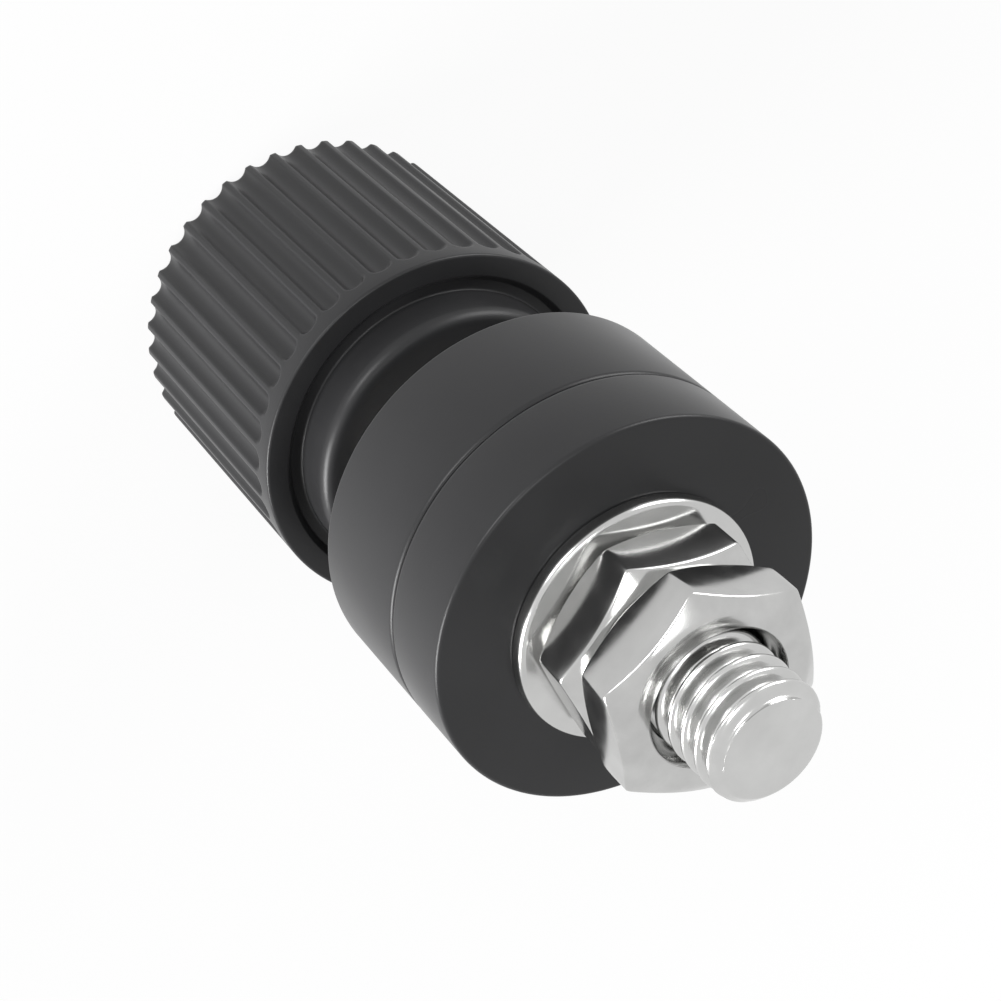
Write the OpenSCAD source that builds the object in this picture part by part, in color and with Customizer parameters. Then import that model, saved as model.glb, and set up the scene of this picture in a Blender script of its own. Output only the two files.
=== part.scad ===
// Panel-mounting binding post, standing on the flat front of its grip cap.
// The axis of the post is +Z, from the cap's front face to the free end of the M6 stud.

/* [Grip cap] */
// Radius of the cap over the crests between its flutes
cap_r = 9.75; // [9:0.25:12]
// Length of the fluted body, from the front face to the rear rim
cap_h = 15.8; // [14:0.2:20]
// Number of flutes round the cap
flute_count = 40; // [24:1:44]
// Depth of a flute below the crests
flute_depth = 0.36; // [0.2:0.02:0.44]
// Width of a flute, measured across the crests
flute_w = 1.1; // [0.9:0.05:1.15]
// Plain band between the ends of the flutes and the rear rim
band_h = 0.9; // [0.7:0.1:3]
// Rounding of the cap's outer edges
cap_edge_r = 0.3; // [0.1:0.05:0.4]
// Chamfer round the mouth in the cap's front face
mouth_chamfer = 0.5; // [0.2:0.1:0.8]
// Radius of the hub behind the fluted body
hub_r = 7.7; // [7:0.1:8]
// Length of the hub
hub_h = 2.3; // [1.5:0.1:4]
// Rounding of the hub's rear edge
hub_edge_r = 0.6; // [0.2:0.1:1]
// Radius where the raised lip round the rear face begins
lip_r = 8.6; // [8.2:0.1:8.8]
// Height of that lip above the floor round the hub
lip_h = 0.3; // [0.1:0.1:1]

/* [Threaded insert of the cap] */
// Outer radius of the insert
insert_r = 5.2; // [5:0.1:5.8]
// Depth of the insert's front end below the cap's front face
insert_depth = 5; // [4.5:0.1:7]
// How far the insert stands out of the hub's face
insert_proud = 0.2; // [0:0.1:0.5]
// Outer radius of the rib that holds the insert in the plastic
rib_r = 6.1; // [5.9:0.1:6.6]
// Width of that rib
rib_w = 4; // [2:0.5:6]

/* [Post] */
// Radius of the post inside the cap, over its thread
post_r = 4; // [3.6:0.1:4.4]
// Depth of the post's front end below the cap's front face when the cap is screwed home
post_recess = 0.6; // [0:0.1:2]
// Radius of the plug socket in the post's front end
socket_r = 2.02; // [1.5:0.01:2.5]
// Depth of the plug socket
socket_h = 13; // [8:0.5:13]
// Radius of the collar that bears on the front insulator
collar_r = 5.2; // [5:0.1:5.3]
// Thickness of the collar
collar_h = 1.2; // [0.8:0.1:1.5]
// Radius of the cross hole for a wire
wire_r = 1.5; // [1:0.1:1.5]
// Metal left between the cross hole and the collar
wire_land = 0.4; // [0.2:0.1:0.6]
// Distance across the flats of the hexagon under the collar
key_af = 8; // [7:0.2:8.6]
// Length of that hexagon, which keeps the post from turning
key_h = 2.5; // [1.5:0.1:3.5]
// Radius of the stud over its thread
stud_r = 3; // [2.5:0.1:3]
// Length of stud beyond the outer nut
stud_proud = 3.9; // [2:0.1:12]
// Chamfer round the free end of the stud
tip_chamfer = 0.5; // [0.2:0.1:0.8]

/* [Insulators] */
// Radius of both insulators
insulator_r = 10; // [9.5:0.25:12]
// Thickness of the front insulator
front_h = 6.7; // [6:0.1:9]
// Thickness of the rear insulator
rear_h = 4.3; // [4:0.1:7]
// Rounding of the insulators' outer edges
insulator_edge_r = 0.25; // [0.1:0.05:0.5]
// Chamfer of both insulators where they meet at the seam
seam_chamfer = 0.15; // [0.05:0.05:0.3]
// Radius of the front insulator's spigot, which passes through the panel
spigot_r = 5.8; // [5:0.1:6.5]
// Length of the spigot
spigot_h = 2.2; // [1.5:0.1:2.4]
// Distance across the two flats of the spigot
spigot_af = 10.2; // [8:0.2:10.2]
// Depth of the rear insulator's recess beyond the spigot's end
recess_spare = 0.5; // [0.2:0.1:0.8]

/* [Washer and nuts] */
// Outer radius of the flat washer
washer_r = 6.25; // [6:0.05:7.5]
// Thickness of the flat washer
washer_h = 0.8; // [0.6:0.1:1.6]
// Distance across the flats of both nuts
nut_af = 10; // [9.5:0.1:11]
// Thickness of each nut
nut_h = 3.2; // [2.9:0.1:5]
// Radius of the flat ring left by the chamfer on a nut's faces
nut_face_r = 4.55; // [4.2:0.05:4.7]
// Radius of the countersink at both ends of a nut's bore
nut_sink_r = 3.5; // [3.4:0.05:3.8]
// Angle by which the outer nut is turned from the inner one
nut_turn = -12.5; // [-30:0.5:30]

/* [Fits] */
// Gap between the cap and the front insulator, as the cap is stored
open_gap = 5; // [4.6:0.1:5.2]
// Radial clearance of a screwed thread
thread_gap = 0.05; // [0.02:0.01:0.1]
// Clearance between the insert and the plastic round it
insert_gap = 0.05; // [0.02:0.01:0.1]
// Radial clearance of the stud in the insulators and the washer
stud_gap = 0.2; // [0.1:0.05:0.3]
// Radial clearance of the post in the mouth of the cap
mouth_gap = 0.3; // [0.1:0.05:0.5]
// Clearance round the hexagon and round the spigot
seat_gap = 0.1; // [0.05:0.05:0.2]
// Clearance between the faces of the two nuts
nut_gap = 0.02; // [0:0.01:0.1]

/* [Hidden] */
turned_fn = 96;
flute_fn = 24;
arc_steps = 5;
// Cuts run past the faces they open by this much
past = 1;
nut_chamfer_angle = 30;
edge_break = 0.12;
thread_mouth = 0.4;

// Heights along the axis, each from the one before it
band_z = cap_h - band_h;
lip_floor_z = cap_h - lip_h;
hub_z = cap_h + hub_h;
insert_z = hub_z + insert_proud;
front_z = hub_z + open_gap;
collar_z = front_z - collar_h;
post_z = collar_z - insert_z + post_recess;
key_z = front_z + key_h;
seam_z = front_z + front_h;
spigot_z = seam_z + spigot_h;
recess_z = spigot_z + recess_spare;
rear_z = seam_z + rear_h;
washer_z = rear_z + washer_h;
clamp_z = washer_z + nut_h;
terminal_z = clamp_z + nut_gap;
stud_z = terminal_z + nut_h + stud_proud;
wire_z = collar_z - wire_land - wire_r;
rib_z = (insert_depth + insert_z - rib_w) / 2;

// A flute is an arc of this radius, centred just outside the crests
flute_r = (flute_w * flute_w / 4 + flute_depth * flute_depth) / (2 * flute_depth);
flute_axis_r = cap_r + flute_r - flute_depth;
nut_corner_r = nut_af / 2 / cos(30);
key_corner_r = key_af / 2 / cos(30);
stud_bore_r = stud_r + stud_gap;

// Points of an arc of radius r about (x, y), from angle a to angle b
function arc(x, y, r, a, b) =
    [for (i = [0:arc_steps]) let (t = a + (b - a) * i / arc_steps) [x + r * cos(t), y + r * sin(t)]];

// A hexagonal prism with corners at radius r, from height z0 to z1
module hexagon(r, z0, z1) {
    translate([0, 0, z0])
        cylinder(r = r, h = z1 - z0, $fn = 6);
}

// Fluted body and hub as one moulding, open right through for the post and the insert
module cap_turning() {
    mouth_r = post_r + mouth_gap;
    seat_r = insert_r + insert_gap;
    groove_r = rib_r + insert_gap;
    rotate_extrude($fn = turned_fn)
        polygon(concat(
            [[mouth_r, mouth_chamfer], [mouth_r + mouth_chamfer, 0]],
            arc(cap_r - cap_edge_r, cap_edge_r, cap_edge_r, -90, 0),
            arc(cap_r - cap_edge_r, cap_h - cap_edge_r, cap_edge_r, 0, 90),
            [[lip_r, cap_h], [lip_r - lip_h, lip_floor_z], [hub_r, lip_floor_z]],
            arc(hub_r - hub_edge_r, hub_z - hub_edge_r, hub_edge_r, 0, 90),
            [[seat_r, hub_z],
             [seat_r, rib_z + rib_w + insert_gap],
             [groove_r, rib_z + rib_w + insert_gap],
             [groove_r, rib_z - insert_gap],
             [seat_r, rib_z - insert_gap],
             [seat_r, insert_depth - insert_gap],
             [mouth_r, insert_depth - insert_gap]]));
}

// One round-bottomed flute, open at the front face and rounded at its rear end
module flute() {
    translate([flute_axis_r, 0, -past])
        cylinder(r = flute_r, h = band_z - flute_r + past, $fn = flute_fn);
    translate([flute_axis_r, 0, band_z - flute_r])
        sphere(r = flute_r, $fn = flute_fn);
}

module grip_cap() {
    color([0.13, 0.13, 0.14])
        difference() {
            cap_turning();
            for (i = [0:flute_count - 1])
                rotate([0, 0, 360 * (i + 0.5) / flute_count])
                    flute();
        }
}

// Threaded sleeve, held in the plastic by a rib round its middle
module cap_insert() {
    bore_r = post_r + thread_gap;
    color([0.80, 0.68, 0.42])
        rotate_extrude($fn = turned_fn)
            polygon([
                [bore_r + thread_mouth, insert_depth],
                [insert_r, insert_depth],
                [insert_r, rib_z],
                [rib_r, rib_z],
                [rib_r, rib_z + rib_w],
                [insert_r, rib_z + rib_w],
                [insert_r, insert_z - edge_break],
                [insert_r - edge_break, insert_z],
                [bore_r + thread_mouth, insert_z],
                [bore_r, insert_z - thread_mouth],
                [bore_r, insert_depth + thread_mouth]]);
}

// Post, collar, hexagon and stud, turned from one bar
module post() {
    color([0.78, 0.78, 0.80])
        difference() {
            union() {
                rotate_extrude($fn = turned_fn)
                    polygon([
                        [0, post_z],
                        [post_r - thread_mouth, post_z],
                        [post_r, post_z + thread_mouth],
                        [post_r, collar_z],
                        [collar_r - edge_break, collar_z],
                        [collar_r, collar_z + edge_break],
                        [collar_r, front_z],
                        [stud_r, front_z],
                        [stud_r, stud_z - tip_chamfer],
                        [stud_r - tip_chamfer, stud_z],
                        [0, stud_z]]);
                hexagon(key_corner_r, front_z - collar_h / 2, key_z);
            }
            translate([0, 0, post_z - past])
                cylinder(r = socket_r, h = socket_h + past, $fn = turned_fn);
            translate([-post_r - past, 0, wire_z])
                rotate([0, 90, 0])
                    cylinder(r = wire_r, h = 2 * (post_r + past), $fn = turned_fn);
        }
}

// Outer bush with a hexagonal pocket for the post and a flatted spigot through the panel
module front_insulator() {
    color([0.17, 0.17, 0.18])
        difference() {
            union() {
                rotate_extrude($fn = turned_fn)
                    polygon(concat(
                        [[stud_bore_r, front_z]],
                        arc(insulator_r - insulator_edge_r, front_z + insulator_edge_r,
                            insulator_edge_r, -90, 0),
                        [[insulator_r, seam_z - seam_chamfer],
                         [insulator_r - seam_chamfer, seam_z],
                         [stud_bore_r, seam_z]]));
                intersection() {
                    translate([0, 0, seam_z - past])
                        difference() {
                            cylinder(r = spigot_r, h = spigot_h + past, $fn = turned_fn);
                            translate([0, 0, -past])
                                cylinder(r = stud_bore_r, h = spigot_h + 3 * past, $fn = turned_fn);
                        }
                    translate([-insulator_r, -spigot_af / 2, front_z])
                        cube([2 * insulator_r, spigot_af, spigot_z - front_z]);
                }
            }
            hexagon(key_corner_r + seat_gap, front_z - past, key_z + seat_gap);
        }
}

// Inner bush, recessed for the spigot and flat behind for the washer
module rear_insulator() {
    recess_r = spigot_r + seat_gap;
    color([0.17, 0.17, 0.18])
        rotate_extrude($fn = turned_fn)
            polygon(concat(
                [[recess_r, seam_z],
                 [insulator_r - seam_chamfer, seam_z],
                 [insulator_r, seam_z + seam_chamfer]],
                arc(insulator_r - insulator_edge_r, rear_z - insulator_edge_r,
                    insulator_edge_r, 0, 90),
                [[stud_bore_r, rear_z],
                 [stud_bore_r, recess_z],
                 [recess_r, recess_z]]));
}

module flat_washer() {
    color([0.82, 0.82, 0.84])
        rotate_extrude($fn = turned_fn)
            polygon([
                [stud_bore_r, rear_z],
                [washer_r - edge_break, rear_z],
                [washer_r, rear_z + edge_break],
                [washer_r, washer_z - edge_break],
                [washer_r - edge_break, washer_z],
                [stud_bore_r, washer_z]]);
}

// Thin hexagon nut with both faces chamfered and both ends of its bore countersunk
module thin_nut(z0, turn) {
    bore_r = stud_r + thread_gap;
    wide_r = nut_corner_r + past;
    drop = (wide_r - nut_face_r) * tan(nut_chamfer_angle);
    sink = nut_sink_r - bore_r;
    color([0.80, 0.80, 0.82])
        intersection() {
            rotate([0, 0, turn])
                hexagon(nut_corner_r, z0, z0 + nut_h);
            rotate_extrude($fn = turned_fn)
                polygon([
                    [nut_sink_r, z0],
                    [nut_face_r, z0],
                    [wide_r, z0 + drop],
                    [wide_r, z0 + nut_h - drop],
                    [nut_face_r, z0 + nut_h],
                    [nut_sink_r, z0 + nut_h],
                    [bore_r, z0 + nut_h - sink],
                    [bore_r, z0 + sink]]);
        }
}

module clamp_nut() {
    thin_nut(washer_z, 0);
}

module terminal_nut() {
    thin_nut(terminal_z, nut_turn);
}

grip_cap();
cap_insert();
post();
front_insulator();
rear_insulator();
flat_washer();
clamp_nut();
terminal_nut();
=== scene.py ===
import math
import bmesh
import bpy
import numpy as np
from mathutils import Vector, Matrix


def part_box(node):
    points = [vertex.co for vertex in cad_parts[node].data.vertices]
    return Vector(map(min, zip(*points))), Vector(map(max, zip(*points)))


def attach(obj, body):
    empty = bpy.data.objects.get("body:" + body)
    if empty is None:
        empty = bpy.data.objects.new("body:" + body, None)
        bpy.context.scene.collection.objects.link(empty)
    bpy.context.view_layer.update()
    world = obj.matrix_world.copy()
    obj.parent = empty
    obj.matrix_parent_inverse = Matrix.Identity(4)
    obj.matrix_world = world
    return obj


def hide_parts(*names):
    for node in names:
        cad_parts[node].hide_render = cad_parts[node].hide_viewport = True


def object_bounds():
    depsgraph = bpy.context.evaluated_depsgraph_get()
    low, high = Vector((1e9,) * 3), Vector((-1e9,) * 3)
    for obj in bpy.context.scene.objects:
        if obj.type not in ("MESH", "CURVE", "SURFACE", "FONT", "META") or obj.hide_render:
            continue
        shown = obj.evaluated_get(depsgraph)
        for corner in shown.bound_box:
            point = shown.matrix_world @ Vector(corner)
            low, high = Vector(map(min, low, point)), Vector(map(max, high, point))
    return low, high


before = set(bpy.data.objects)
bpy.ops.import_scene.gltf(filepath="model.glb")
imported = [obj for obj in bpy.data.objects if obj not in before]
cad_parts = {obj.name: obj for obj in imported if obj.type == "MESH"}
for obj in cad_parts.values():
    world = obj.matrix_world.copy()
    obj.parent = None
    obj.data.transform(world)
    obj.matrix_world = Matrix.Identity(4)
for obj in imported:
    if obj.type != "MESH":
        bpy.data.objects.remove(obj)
cadLow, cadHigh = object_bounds()
print("frame loaded")

mm = 0.001
tau = 2 * math.pi


# Surfaces. Lengths are in millimetres until spin turns them to metres.

def softLoop(corners, soft, steps):
    # corners is (corner, angle, 2) holding radius and height. Each corner becomes a quadratic curve that
    # leaves one side and joins the next at a set distance from the corner; a distance of 0 keeps the point
    mostOfSide = 0.45
    rows = []
    before = np.roll(corners, 1, axis=0)
    after = np.roll(corners, -1, axis=0)
    for i, distance in enumerate(soft):
        middle = corners[i]
        if distance == 0:
            rows.append(middle[None])
            continue
        toBefore = before[i] - middle
        toAfter = after[i] - middle
        shareBefore = np.minimum(distance / np.linalg.norm(toBefore, axis=-1), mostOfSide)[:, None]
        shareAfter = np.minimum(distance / np.linalg.norm(toAfter, axis=-1), mostOfSide)[:, None]
        start = middle + toBefore * shareBefore
        end = middle + toAfter * shareAfter
        t = np.linspace(0, 1, steps)[:, None, None]
        rows.append((1 - t) ** 2 * start + 2 * t * (1 - t) * middle + t ** 2 * end)
    return np.concatenate(rows)


def ringRows(profile, angles, steps):
    # profile lists corners as (radius, height, softness). A radius or a height is one number for the whole
    # turn, or one for each angle
    corners = [np.stack(np.broadcast_arrays(radius, height, angles)[:2], axis=-1)
               for radius, height, softness in profile]
    return softLoop(np.array(corners, float), [softness for radius, height, softness in profile], steps)


def spin(rows, angles):
    # radius and height at each angle become x = r cos a, y = r sin a, z = height
    radius, height = rows[..., 0], rows[..., 1]
    return np.stack([radius * np.cos(angles), radius * np.sin(angles), height], axis=-1) * mm


def ringMesh(name, points, closed=True, sharpAngle=38):
    # points is (row, angle, 3). Quads join neighbouring rows and angles; a closed surface also joins the last
    # row to the first, and an open one shrinks its first and last rows to a pole each
    rows, columns = points.shape[:2]
    column = np.arange(columns)
    following = (column + 1) % columns
    if closed:
        vertices = points.reshape(-1, 3)
        a = np.arange(rows)[:, None] * columns
        b = ((np.arange(rows) + 1) % rows)[:, None] * columns
        triangles = np.zeros((0, 3), int)
    else:
        inner = points[1:-1].reshape(-1, 3)
        vertices = np.concatenate([inner, points[:1].mean(axis=1), points[-1:].mean(axis=1)])
        a = np.arange(rows - 3)[:, None] * columns
        b = a + columns
        low, high = len(vertices) - 2, len(vertices) - 1
        last = (rows - 3) * columns
        bottom = np.stack([np.full(columns, low), following, column], -1)
        top = np.stack([np.full(columns, high), last + column, last + following], -1)
        triangles = np.concatenate([bottom, top])
    quads = np.stack([a + column, a + following, b + following, b + column], -1).reshape(-1, 4)
    # outward faces enclose a positive volume
    p, q, r, s = (vertices[quads[:, i]] for i in range(4))
    volume = (p * np.cross(q, r)).sum() + (p * np.cross(r, s)).sum()
    if volume < 0:
        quads = quads[:, ::-1]
        triangles = triangles[:, ::-1]
    mesh = bpy.data.meshes.new(name)
    mesh.from_pydata(vertices.tolist(), [], quads.tolist() + triangles.tolist())
    smoothFaces(mesh, sharpAngle)
    piece = bpy.data.objects.new(name, mesh)
    bpy.context.scene.collection.objects.link(piece)
    return piece


def smoothFaces(mesh, sharpAngle):
    # smooth shading everywhere but at edges that turn by more than sharpAngle degrees
    mesh.polygons.foreach_set("use_smooth", np.ones(len(mesh.polygons), bool))
    mesh.set_sharp_from_angle(angle=math.radians(sharpAngle))
    mesh.update()


def evenAngles(count):
    # whole turn in equal steps
    return np.arange(count) * tau / count


def hexAngles(perSide, phase):
    # angles crowd towards the six corners: the sine of an even step runs over each side
    step = np.arange(perSide) / perSide * 2 - 1
    side = np.sin(step * math.pi / 2) * tau / 12
    return (np.arange(6)[:, None] * tau / 6 + side[None] + tau / 12).ravel() + phase


def hexRadius(angles, acrossFlats, phase, sharpness=70):
    # a hexagon with rounded corners: the power mean of the distances to its six sides
    sides = phase + tau / 12 + np.arange(6) * tau / 6
    reach = np.maximum(np.cos(angles[:, None] - sides), 0)
    return acrossFlats / 2 * (reach ** sharpness).sum(axis=1) ** (-1 / sharpness)


threadValues = {"crestShare": 0.12, "flankShare": 0.66, "rounding": 0.09, "depthShare": 0.6}


def threadDrop(angles, height, pitch):
    # a right-hand helix: the distance from the crest line, as a share of half the pitch, runs over a flat
    # crest, a straight flank and a flat root. A sine rounds where they meet
    v = threadValues
    turn = (height / pitch - angles / tau) % 1
    fromCrest = np.abs(turn - 0.5) * 2
    flank = np.clip((fromCrest - v["crestShare"]) / v["flankShare"], 0, 1)
    return v["depthShare"] * pitch * (flank - v["rounding"] * np.sin(flank * tau))


# Sizes read from the frame

def heights(node):
    # lowest and highest point of a node
    low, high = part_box(node)
    return low.z / mm, high.z / mm


def outerRadius(node):
    # largest reach of a node along X
    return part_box(node)[1].x / mm


# Materials

def linear(code):
    # sRGB hex to linear: a straight line near black, a power of 2.4 above
    values = np.array([int(code[i:i + 2], 16) for i in (1, 3, 5)]) / 255
    values = np.where(values <= 0.04045, values / 12.92, ((values + 0.055) / 1.055) ** 2.4)
    return (*values, 1.0)


def addNode(tree, kind, settings=None, links=None):
    # settings holds input sockets by name or number, and properties by name. links holds input sockets and
    # the node and output that feed them
    node = tree.nodes.new(kind)
    for name, value in (settings or {}).items():
        if isinstance(name, int) or name in node.inputs:
            node.inputs[name].default_value = value
        else:
            setattr(node, name, value)
    for name, (source, output) in (links or {}).items():
        tree.links.new(source.outputs[output], node.inputs[name])
    return node


def newMaterial(name):
    # an empty node tree under a new material
    material = bpy.data.materials.new(name)
    material.use_nodes = True
    material.node_tree.nodes.clear()
    return material, material.node_tree


noiseLow, noiseHigh = 0.3, 0.7  # where nearly all of a noise texture's values lie


def unevenSurface(name, values, shine):
    # a broad noise moves the colour from dark to light and the roughness from its middle less its spread to
    # its middle plus its spread. A fine noise raises marks, squeezed along an axis by markStretch
    material, tree = newMaterial(name)
    place = addNode(tree, "ShaderNodeTexCoord")
    patches = addNode(tree, "ShaderNodeTexNoise",
                      {"Scale": 1 / (values["patchMm"] * mm), "Detail": values["patchDetail"]},
                      {"Vector": (place, "Object")})
    squeezed = addNode(tree, "ShaderNodeMapping", {"Scale": values["markStretch"]},
                       {"Vector": (place, "Object")})
    marks = addNode(tree, "ShaderNodeTexNoise",
                    {"Scale": 1 / (values["markMm"] * mm), "Detail": values["markDetail"],
                     "Roughness": values["markFineness"]}, {"Vector": (squeezed, "Vector")})
    colour = addNode(tree, "ShaderNodeMix",
                     {"data_type": "RGBA", 6: linear(values["dark"]), 7: linear(values["light"])},
                     {"Factor": (patches, "Fac")})
    rough = addNode(tree, "ShaderNodeMapRange",
                    {"From Min": noiseLow, "From Max": noiseHigh,
                     "To Min": values["rough"] - values["roughSpread"],
                     "To Max": values["rough"] + values["roughSpread"]}, {"Value": (patches, "Fac")})
    bump = addNode(tree, "ShaderNodeBump",
                   {"Strength": values["markStrength"], "Distance": values["markDepthMm"] * mm},
                   {"Height": (marks, "Fac")})
    shader = addNode(tree, "ShaderNodeBsdfPrincipled", shine,
                     {"Base Color": (colour, 2), "Roughness": (rough, "Result"), "Normal": (bump, "Normal")})
    addNode(tree, "ShaderNodeOutputMaterial", None, {"Surface": (shader, "BSDF")})
    return material


plasticValues = {"patchDetail": 2.0, "markDetail": 3.0, "markFineness": 0.6, "markStretch": (1.0, 1.0, 1.0),
                 "ior": 1.5, "specular": 0.25}
metalValues = {"patchDetail": 3.0, "markDetail": 4.0, "markFineness": 0.65}


def mouldedBlack(name, values):
    # glass-filled thermoplastic, injection moulded: near black with a satin skin, a faintly uneven gloss and
    # a fine grain from the mould's spark-eroded surface
    v = {**plasticValues, **values}
    return unevenSurface(name, v, {"IOR": v["ior"], "Specular IOR Level": v["specular"]})


def workedMetal(name, values):
    # bare or plated metal: a mirror broken by fine marks from the tools that turned or pressed it, and by
    # slightly hazy patches
    return unevenSurface(name, {**metalValues, **values}, {"Metallic": 1.0})


# grain is drawn coarser than the real 0.03 mm, so that it shows
capPlastic = mouldedBlack("mouldedCapPlastic", {
    "dark": "#212122", "light": "#2b2b2c", "patchMm": 6.0, "rough": 0.36, "roughSpread": 0.05,
    "markMm": 0.12, "markDepthMm": 0.012, "markStrength": 0.35})
# the same plastic from a smoother mould, a little glossier
insulatorPlastic = mouldedBlack("mouldedInsulatorPlastic", {
    "dark": "#212122", "light": "#2b2b2c", "patchMm": 8.0, "rough": 0.32, "roughSpread": 0.05,
    "markMm": 0.12, "markDepthMm": 0.008, "markStrength": 0.3})
# bright nickel over a turned bar: a neutral grey shine with faint rings round the axis
turnedNickel = workedMetal("turnedNickelPlate", {
    "dark": "#b9b9b8", "light": "#cfcfce", "patchMm": 2.0, "rough": 0.2, "roughSpread": 0.05,
    "markMm": 0.5, "markStretch": (1.0, 1.0, 8.0), "markDepthMm": 0.003, "markStrength": 0.15})
# bright nickel over a pressed and tumbled nut: the sharpest reflections, slightly wavy
pressedNickel = workedMetal("pressedNickelPlate", {
    "dark": "#afafae", "light": "#c9c9c8", "patchMm": 1.6, "rough": 0.15, "roughSpread": 0.04,
    "markMm": 0.7, "markStretch": (1.0, 1.0, 1.0), "markDepthMm": 0.004, "markStrength": 0.16})
# bright nickel over stamped sheet: flat and shiny with soft handling marks
stampedNickel = workedMetal("stampedNickelPlate", {
    "dark": "#b4b4b3", "light": "#cdcdcc", "patchMm": 2.4, "rough": 0.18, "roughSpread": 0.04,
    "markMm": 0.9, "markStretch": (1.0, 1.0, 1.0), "markDepthMm": 0.005, "markStrength": 0.25})
# unplated turned brass: yellow, with a softer shine than the nickel
turnedBrass = workedMetal("turnedBrass", {
    "dark": "#a88a4c", "light": "#c9a860", "patchMm": 2.0, "rough": 0.28, "roughSpread": 0.06,
    "markMm": 0.4, "markStretch": (1.0, 1.0, 6.0), "markDepthMm": 0.004, "markStrength": 0.3})
print("materials made")


def dress(piece, node, body, material):
    # gives a piece its material and its place in the frame
    piece.data.materials.append(material)
    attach(piece, body)
    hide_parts(node)


capValues = {
    "flutes": 40, "fluteDepth": 0.38, "fluteWidth": 1.2, "crestSoftness": 0.045, "anglesPerFlute": 20,
    "band": 0.9, "skin": 0.9, "skinFade": 0.45, "faceRow": 0.2,
    "sideRows": (2.0, 5.0, 8.0, 11.0, 13.0), "runOut": 0.75, "runOutPast": 0.1, "runOutRows": 13,
    "mouth": 4.3, "mouthChamfer": 0.5, "mouthEdge": 0.1, "frontEdge": 0.32, "rimEdge": 0.17,
    "lip": 8.6, "lipHeight": 0.3, "lipEdge": 0.05,
    "hubRadius": 7.7, "hubHeight": 2.3, "hubFoot": 0.15, "hubEdge": 0.75,
    "seat": 5.25, "seatFloor": 4.95, "seatEdge": 0.05, "groove": 6.15, "grooveWidth": 4.1,
    "curveSteps": 6, "sharpAngle": 50}


def fluteDepthAt(angles, height, radius, bandHeight):
    # a flute is the part of a round bar, ended by a ball, that sinks below the crests: bar radius from its
    # width and depth, then the square root of what the distances along and across leave
    v = capValues
    bar = (v["fluteWidth"] ** 2 / 4 + v["fluteDepth"] ** 2) / (2 * v["fluteDepth"])
    pitch = tau / v["flutes"]
    across = ((angles + pitch) % pitch - pitch / 2) * radius
    along = np.maximum(height - (bandHeight - bar), 0)
    sunk = np.sqrt(np.maximum(bar ** 2 - across ** 2 - along ** 2, 0)) - (bar - v["fluteDepth"])
    return (sunk + np.sqrt(sunk ** 2 + v["crestSoftness"] ** 2)) / 2  # soft edges instead of sharp ones


def makeGripCap():
    # one turned profile: mouth, front face, side, rim, lip, hub, and the seat and groove round the insert.
    # The flutes then sink into its outer skin
    v = capValues
    low, high = heights("grip_cap")
    radius = outerRadius("grip_cap")
    bodyTop = high - v["hubHeight"]
    lipFloor = bodyTop - v["lipHeight"]
    bandHeight = bodyTop - v["band"]
    grooveLow = (sum(heights("cap_insert")) - v["grooveWidth"]) / 2
    grooveHigh = grooveLow + v["grooveWidth"]
    runOut = np.linspace(bandHeight - v["runOut"], bandHeight + v["runOutPast"], v["runOutRows"])
    profile = [(v["mouth"], low + v["mouthChamfer"], v["mouthEdge"]),
               (v["mouth"] + v["mouthChamfer"], low, v["mouthEdge"]),
               (radius - v["skin"] - v["faceRow"], low, 0),
               (radius - v["skin"], low, 0),
               (radius, low, v["frontEdge"])]
    profile += [(radius, height, 0) for height in (*v["sideRows"], *runOut)]
    profile += [(radius, bodyTop, v["rimEdge"]),
                (v["lip"], bodyTop, v["lipEdge"]),
                (v["lip"] - v["lipHeight"], lipFloor, v["lipEdge"]),
                (v["hubRadius"], lipFloor, v["hubFoot"]),
                (v["hubRadius"], high, v["hubEdge"]),
                (v["seat"], high, v["seatEdge"]),
                (v["seat"], grooveHigh, 0),
                (v["groove"], grooveHigh, 0),
                (v["groove"], grooveLow, 0),
                (v["seat"], grooveLow, 0),
                (v["seat"], v["seatFloor"], 0),
                (v["mouth"], v["seatFloor"], 0)]
    angles = evenAngles(v["flutes"] * v["anglesPerFlute"])
    rows = ringRows(profile, angles, v["curveSteps"])
    share = np.clip((rows[..., 0] - (radius - v["skin"])) / v["skinFade"], 0, 1)
    below = rows[..., 1] < bodyTop
    rows[..., 0] -= share * below * fluteDepthAt(angles[None], rows[..., 1], radius, bandHeight)
    piece = ringMesh("gripCapMoulding", spin(rows, angles), True, v["sharpAngle"])
    dress(piece, "grip_cap", "cap", capPlastic)
    print("grip cap", len(piece.data.polygons), "faces")


makeGripCap()


insertValues = {"bore": 4.05, "mouth": 0.4, "outer": 5.2, "rib": 6.1, "ribWidth": 4.0, "rearEdge": 0.12,
                "frontEdge": 0.1, "mouthEdge": 0.06, "frontMouthEdge": 0.05, "curveSteps": 4, "angles": 128}


def makeInsert():
    # a turned sleeve with a wide rib that the plastic grips
    v = insertValues
    low, high = heights("cap_insert")
    ribLow = (low + high - v["ribWidth"]) / 2
    ribHigh = ribLow + v["ribWidth"]
    profile = [(v["bore"] + v["mouth"], low, v["frontMouthEdge"]),
               (v["outer"], low, v["frontEdge"]),
               (v["outer"], ribLow, 0),
               (v["rib"], ribLow, 0),
               (v["rib"], ribHigh, 0),
               (v["outer"], ribHigh, 0),
               (v["outer"], high, v["rearEdge"]),
               (v["bore"] + v["mouth"], high, v["mouthEdge"]),
               (v["bore"], high - v["mouth"], v["mouthEdge"]),
               (v["bore"], low + v["mouth"], 0)]
    angles = evenAngles(v["angles"])
    rows = ringRows(profile, angles, v["curveSteps"])
    piece = ringMesh("capInsertSleeve", spin(rows, angles))
    dress(piece, "cap_insert", "insert", turnedBrass)
    print("insert made")


makeInsert()


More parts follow.
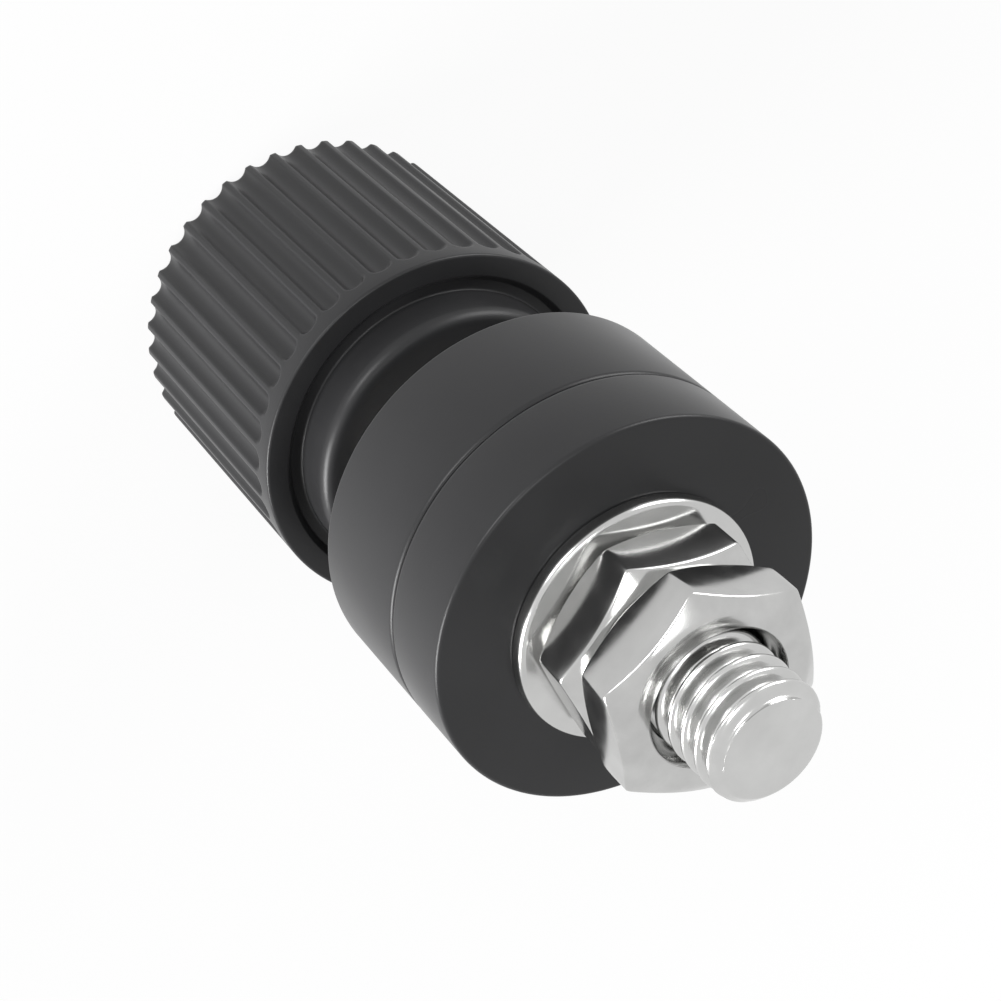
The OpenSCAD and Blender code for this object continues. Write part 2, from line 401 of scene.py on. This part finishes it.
insulatorValues = {
    "bore": 3.2, "edge": 0.22, "seamEdge": 0.28, "boreEdge": 0.1,
    "pocketFlats": 8.2, "pocketDepth": 2.6, "pocketEdge": 0.08,
    "spigot": 5.8, "spigotFlats": 10.2, "spigotEdge": 0.2, "flatEnd": 0.01,
    "recess": 5.9, "recessDepth": 2.7, "recessEdge": 0.05,
    "curveSteps": 6, "angles": 288}


def makeFrontInsulator():
    # outer bush with a hex pocket for the post's key in front, and behind the seam a spigot with two flats:
    # the smaller of the spigot's radius and half the flats over the sine of the angle, kept off zero
    v = insulatorValues
    low, high = heights("front_insulator")
    seam = heights("rear_insulator")[0]
    radius = outerRadius("front_insulator")
    angles = evenAngles(v["angles"])
    pocket = hexRadius(angles, v["pocketFlats"], 0)
    flats = v["spigotFlats"] / 2 / np.maximum(np.abs(np.sin(angles)), v["flatEnd"])
    spigot = np.minimum(v["spigot"], flats)
    profile = [(v["bore"], low + v["pocketDepth"], 0),
               (pocket, low + v["pocketDepth"], 0),
               (pocket, low, v["pocketEdge"]),
               (radius, low, v["edge"]),
               (radius, seam, v["seamEdge"]),
               (spigot, seam, 0),
               (spigot, high, v["spigotEdge"]),
               (v["bore"], high, 0)]
    rows = ringRows(profile, angles, v["curveSteps"])
    piece = ringMesh("frontInsulatorBush", spin(rows, angles))
    dress(piece, "front_insulator", "panel_side", insulatorPlastic)
    print("front insulator made")


def makeRearInsulator():
    # inner bush with a round recess over the spigot
    v = insulatorValues
    low, high = heights("rear_insulator")
    radius = outerRadius("rear_insulator")
    profile = [(v["recess"], low, v["recessEdge"]),
               (radius, low, v["seamEdge"]),
               (radius, high, v["edge"]),
               (v["bore"], high, v["boreEdge"]),
               (v["bore"], low + v["recessDepth"], 0),
               (v["recess"], low + v["recessDepth"], 0)]
    angles = evenAngles(v["angles"])
    rows = ringRows(profile, angles, v["curveSteps"])
    piece = ringMesh("rearInsulatorBush", spin(rows, angles))
    dress(piece, "rear_insulator", "panel_side", insulatorPlastic)
    print("rear insulator made")


makeFrontInsulator()
makeRearInsulator()


washerValues = {"bore": 3.2, "frontEdge": 0.12, "rearEdge": 0.3, "frontBoreEdge": 0.08, "rearBoreEdge": 0.1,
                "curveSteps": 6, "angles": 192}


def makeWasher():
    # a stamped ring, its rear rim rolled over by the punch
    v = washerValues
    low, high = heights("flat_washer")
    radius = outerRadius("flat_washer")
    profile = [(v["bore"], low, v["frontBoreEdge"]),
               (radius, low, v["frontEdge"]),
               (radius, high, v["rearEdge"]),
               (v["bore"], high, v["rearBoreEdge"])]
    angles = evenAngles(v["angles"])
    rows = ringRows(profile, angles, v["curveSteps"])
    piece = ringMesh("flatWasherRing", spin(rows, angles))
    dress(piece, "flat_washer", "panel_side", stampedNickel)
    print("washer made")


makeWasher()


nutValues = {
    "flats": 10.0, "bore": 3.02, "sink": 3.55, "sinkDepth": 1.1, "sinkEdge": 0.08, "face": 4.55,
    "faceEdge": 0.25, "chamfer": 30.0, "edge": 0.1, "clampTurn": 0.0, "terminalTurn": -12.5,
    "curveSteps": 5, "perSide": 40, "sharpAngle": 25}


def makeNut(name, node, body, turnDegrees):
    # at every angle the profile is the same ring, sink and cone, carried out to the hexagon's own radius
    v = nutValues
    low, high = heights(node)
    phase = math.radians(turnDegrees)
    angles = hexAngles(v["perSide"], phase)
    outer = hexRadius(angles, v["flats"], phase)
    drop = (outer - v["face"]) * math.tan(math.radians(v["chamfer"]))
    profile = [(v["sink"], low, v["sinkEdge"]),
               (v["face"], low, v["faceEdge"]),
               (outer, low + drop, v["edge"]),
               (outer, high - drop, v["edge"]),
               (v["face"], high, v["faceEdge"]),
               (v["sink"], high, v["sinkEdge"]),
               (v["bore"], high - v["sinkDepth"], v["sinkEdge"]),
               (v["bore"], low + v["sinkDepth"], v["sinkEdge"])]
    rows = ringRows(profile, angles, v["curveSteps"])
    piece = ringMesh(name, spin(rows, angles), True, v["sharpAngle"])
    dress(piece, node, body, pressedNickel)
    print(name, "made")


makeNut("clampNutBody", "clamp_nut", "panel_side", nutValues["clampTurn"])
makeNut("terminalNutBody", "terminal_nut", "outer_nut", nutValues["terminalTurn"])


postValues = {
    "socket": 2.02, "socketDepth": 13.0, "socketRow": 4.0, "drillPoint": 0.9, "pointRadius": 0.3,
    "pointFall": 0.15, "lipDepth": 0.25, "lipRound": (0.2, 0.03), "lipWidth": 0.3,
    "postRadius": 4.0, "postPitch": 1.0, "frontFlat": 0.45, "frontLead": 0.4, "frontGap": 0.05,
    "relief": 0.5, "reliefGap": 0.05, "reliefFoot": 0.1,
    "collar": 5.2, "collarHeight": 1.2, "collarRound": ((0.14, 0.0), (0.03, 0.05), (0.0, 0.16)),
    "collarRear": 0.1, "collarBreak": 0.05,
    "keyFlats": 8.0, "keyHeight": 2.5, "studRadius": 3.0, "studPitch": 1.0, "shankGap": 0.05,
    "shankEnd": 0.5, "tip": 0.5, "tipSlope": 1.15, "tipBreak": 0.06, "tipGap": 0.02, "endRow": 1.2,
    "wire": 1.5, "wireLand": 0.4, "cutterSides": 61, "cutterReach": 6.0, "cutterRings": 30,
    "angles": 160, "rowsPerTurn": 16, "sharpAngle": 52, "mergeDistance": 0.002}


def postSurface():
    # rings from the bottom of the socket, out over the front end, back along the front thread, the collar,
    # the hex key and the stud's thread, to the middle of the stud's end
    v = postValues
    low, high = heights("post")
    front = heights("front_insulator")[0]
    seam = heights("rear_insulator")[0]
    collar = front - v["collarHeight"]
    key = front + v["keyHeight"]
    socketEnd = low + v["socketDepth"]
    root = v["postRadius"] - threadValues["depthShare"] * v["postPitch"]
    shank = v["studRadius"] - v["shankGap"]
    angles = evenAngles(v["angles"])
    hexagon = hexRadius(angles, v["keyFlats"], 0)

    def ring(radius, height):
        # one row; its radius is a single number or one for each angle
        return np.stack(np.broadcast_arrays(radius, height, angles)[:2], axis=-1)[None]

    def threadRows(start, end, radius, pitch):
        # even rows along the axis, each at the thread's radius less its drop
        z = np.linspace(start, end, int((end - start) / pitch * v["rowsPerTurn"]))[:, None]
        r = radius - threadDrop(angles[None], z, pitch)
        return np.stack([r, np.broadcast_to(z, r.shape)], -1)

    # a cone over each thread's free end, at 45 degrees in front and a little blunter at the stud's tip
    frontThread = threadRows(low + v["frontGap"], collar - v["relief"], v["postRadius"], v["postPitch"])
    lead = v["postRadius"] - v["frontLead"] + (frontThread[..., 1] - low)
    frontThread[..., 0] = np.minimum(frontThread[..., 0], lead)
    rearThread = threadRows(seam, high - v["tipGap"], v["studRadius"], v["studPitch"])
    tip = v["studRadius"] - v["tip"] + (high - rearThread[..., 1]) * v["tipSlope"]
    rearThread[..., 0] = np.minimum(rearThread[..., 0], tip)

    rows = [ring(0.0, socketEnd + v["drillPoint"]),
            ring(v["pointRadius"], socketEnd + v["drillPoint"] - v["pointFall"]),
            ring(v["socket"], socketEnd),
            ring(v["socket"], socketEnd - v["socketRow"]),
            ring(v["socket"], low + v["lipDepth"]),
            ring(v["socket"] + v["lipRound"][0], low + v["lipRound"][1]),
            ring(v["socket"] + v["lipWidth"], low),
            ring(v["postRadius"] - v["frontFlat"], low),
            frontThread,
            ring(root, collar - v["relief"] + v["reliefGap"]),
            ring(root, collar - v["reliefFoot"]),
            ring(root + v["reliefFoot"], collar)]
    rows += [ring(v["collar"] - inwards, collar + upwards) for inwards, upwards in v["collarRound"]]
    rows += [ring(v["collar"], front - v["collarRear"]),
             ring(v["collar"] - v["collarBreak"], front),
             ring(hexagon, front),
             ring(hexagon, key),
             ring(shank, key),
             ring(shank, seam - v["shankEnd"]),
             rearThread,
             ring(v["studRadius"] - v["tip"] - v["tipBreak"], high),
             ring(v["endRow"], high),
             ring(0.0, high)]
    return spin(np.concatenate(rows), angles), collar


def wireHoleBar(collar):
    # a round bar along X, a land's width in front of the collar: y and z run round a circle at each x
    v = postValues
    turn = evenAngles(v["cutterSides"])
    along = np.linspace(-v["cutterReach"], v["cutterReach"], v["cutterRings"])
    circle = np.broadcast_arrays(along[:, None], v["wire"] * np.cos(turn),
                                 v["wire"] * np.sin(turn) + collar - v["wireLand"] - v["wire"])
    return ringMesh("wireHoleCutter", np.stack(circle, -1) * mm, False)


def makePost():
    # the turned surface, with the wire hole cut straight through it
    v = postValues
    points, collar = postSurface()
    piece = ringMesh("postAndStud", points, False)
    cutter = wireHoleBar(collar)
    cut = piece.modifiers.new("wireHole", "BOOLEAN")
    cut.object = cutter
    cut.solver = "EXACT"
    bpy.context.view_layer.update()
    shown = piece.evaluated_get(bpy.context.evaluated_depsgraph_get())
    drilled = bpy.data.meshes.new_from_object(shown)
    # the cut leaves a few corners a fraction of a micrometre apart, and some faces with many sides
    cleaned = bmesh.new()
    cleaned.from_mesh(drilled)
    bmesh.ops.remove_doubles(cleaned, verts=cleaned.verts, dist=v["mergeDistance"] * mm)
    bmesh.ops.dissolve_degenerate(cleaned, edges=cleaned.edges, dist=v["mergeDistance"] * mm)
    bmesh.ops.triangulate(cleaned, faces=[face for face in cleaned.faces if len(face.verts) > 4])
    cleaned.to_mesh(drilled)
    cleaned.free()
    piece.modifiers.clear()
    piece.data = drilled
    smoothFaces(drilled, v["sharpAngle"])
    bpy.data.objects.remove(cutter)
    drilled.materials.clear()
    dress(piece, "post", "panel_side", turnedNickel)
    print("post", len(drilled.polygons), "faces")


makePost()


def seenDirectly(tree):
    # 1 for a ray from the camera or one that left a glossy or clear surface, else 0
    path = addNode(tree, "ShaderNodeLightPath")
    either = addNode(tree, "ShaderNodeMath", {"operation": "MAXIMUM"},
                     {0: (path, "Is Camera Ray"), 1: (path, "Is Glossy Ray")})
    return addNode(tree, "ShaderNodeMath", {"operation": "MAXIMUM"},
                   {0: (either, "Value"), 1: (path, "Is Transmission Ray")})


# size and distances in metres
floorValues = {"size": 3.0, "paper": "#f4f4f4", "nearWhite": 0.92, "nearDistance": 0.03, "farDistance": 0.1}


def makeFloor():
    # matt paper. Seen directly or in a reflection it glows nearly to white by the object, where it keeps the
    # shadow, and fully white further off
    v = floorValues
    half = v["size"] / 2
    corners = [(-half, -half, 0), (half, -half, 0), (half, half, 0), (-half, half, 0)]
    mesh = bpy.data.meshes.new("studioFloor")
    mesh.from_pydata(corners, [], [(0, 1, 2, 3)])
    floor = bpy.data.objects.new("studioFloor", mesh)
    bpy.context.scene.collection.objects.link(floor)
    material, tree = newMaterial("whitePaperSweep")
    place = addNode(tree, "ShaderNodeTexCoord")
    distance = addNode(tree, "ShaderNodeVectorMath", {"operation": "LENGTH"}, {0: (place, "Object")})
    white = addNode(tree, "ShaderNodeMapRange",
                    {"interpolation_type": "SMOOTHSTEP", "From Min": v["nearDistance"],
                     "From Max": v["farDistance"], "To Min": v["nearWhite"], "To Max": 1.0},
                    {"Value": (distance, "Value")})
    share = addNode(tree, "ShaderNodeMath", {"operation": "MULTIPLY"},
                    {0: (seenDirectly(tree), "Value"), 1: (white, "Result")})
    paper = addNode(tree, "ShaderNodeBsdfDiffuse", {"Color": linear(v["paper"])})
    glow = addNode(tree, "ShaderNodeEmission", {"Color": linear("#ffffff"), "Strength": 1.0})
    mixed = addNode(tree, "ShaderNodeMixShader", None,
                    {"Fac": (share, "Value"), 1: (paper, "BSDF"), 2: (glow, "Emission")})
    addNode(tree, "ShaderNodeOutputMaterial", None, {"Surface": (mixed, "Shader")})
    mesh.materials.append(material)


worldValues = {"colour": "#ffffff", "fill": 0.18}


def makeWorld():
    # a white room wherever it is seen, and a dim fill light for matt surfaces
    v = worldValues
    world = bpy.data.worlds.new("studioRoom")
    bpy.context.scene.world = world
    world.use_nodes = True
    tree = world.node_tree
    tree.nodes.clear()
    room = addNode(tree, "ShaderNodeBackground", {"Color": linear(v["colour"]), "Strength": v["fill"]})
    white = addNode(tree, "ShaderNodeBackground", {"Color": linear(v["colour"]), "Strength": 1.0})
    mixed = addNode(tree, "ShaderNodeMixShader", None,
                    {"Fac": (seenDirectly(tree), "Value"), 1: (room, "Background"), 2: (white, "Background")})
    addNode(tree, "ShaderNodeOutputWorld", None, {"Surface": (mixed, "Shader")})


# angles in degrees, distance and aim in millimetres; the roll lays the part across the frame
cameraValues = {"azimuth": 161.4, "elevation": 47.28, "roll": -134.18, "distance": 114.39,
                "aim": (-0.435, 0.18, 22.6), "lens": 84.31, "sensor": 36.0, "near": 0.005, "far": 10.0}


def aimFrame(azimuth, elevation, roll):
    # the direction back to the camera, its right and its up, turned by the roll about the view
    a, e, r = math.radians(azimuth), math.radians(elevation), math.radians(roll)
    back = Vector((math.sin(a) * math.cos(e), -math.cos(a) * math.cos(e), math.sin(e)))
    level = Vector((0, 0, 1)) - back * back.z
    level.normalize()
    side = level.cross(back)
    up = level * math.cos(r) + side * math.sin(r)
    right = up.cross(back)
    return back, right, up


def makeCamera():
    # stands off from the aim point along the view
    v = cameraValues
    back, right, up = aimFrame(v["azimuth"], v["elevation"], v["roll"])
    data = bpy.data.cameras.new("studioCamera")
    data.lens = v["lens"]
    data.sensor_width = v["sensor"]
    data.clip_start = v["near"]
    data.clip_end = v["far"]
    camera = bpy.data.objects.new("studioCamera", data)
    bpy.context.scene.collection.objects.link(camera)
    turned = Matrix((right, up, back)).transposed().to_4x4()
    place = Vector(v["aim"]) * mm + back * v["distance"] * mm
    camera.matrix_world = Matrix.Translation(place) @ turned
    bpy.context.scene.camera = camera


lampValues = [
    # name, azimuth and elevation as the camera's, distance and size in metres, power in watts
    ("leftSoftbox", 236.0, 5.0, 0.36, 0.20, 3.2),
    ("frontSoftbox", 172.0, 5.0, 0.42, 0.18, 0.9),
    ("rightSoftbox", 84.0, 12.0, 0.40, 0.24, 1.2),
    ("topSoftbox", 152.0, 68.0, 0.50, 0.16, 0.55),
]


def makeLamps():
    # three low softboxes light the sides and leave the rear faces darker; a high one draws the edges
    middle = (Vector(cadLow) + Vector(cadHigh)) / 2
    for name, azimuth, elevation, distance, size, power in lampValues:
        data = bpy.data.lights.new(name, "AREA")
        data.size = size
        data.energy = power
        lamp = bpy.data.objects.new(name, data)
        bpy.context.scene.collection.objects.link(lamp)
        towards = aimFrame(azimuth, elevation, 0)[0]
        lamp.location = middle + towards * distance
        lamp.rotation_mode = "QUATERNION"
        lamp.rotation_quaternion = (-towards).to_track_quat("-Z", "Y")


makeFloor()
makeWorld()
makeCamera()
makeLamps()
bpy.context.scene.view_settings.view_transform = "Standard"
print("studio made")
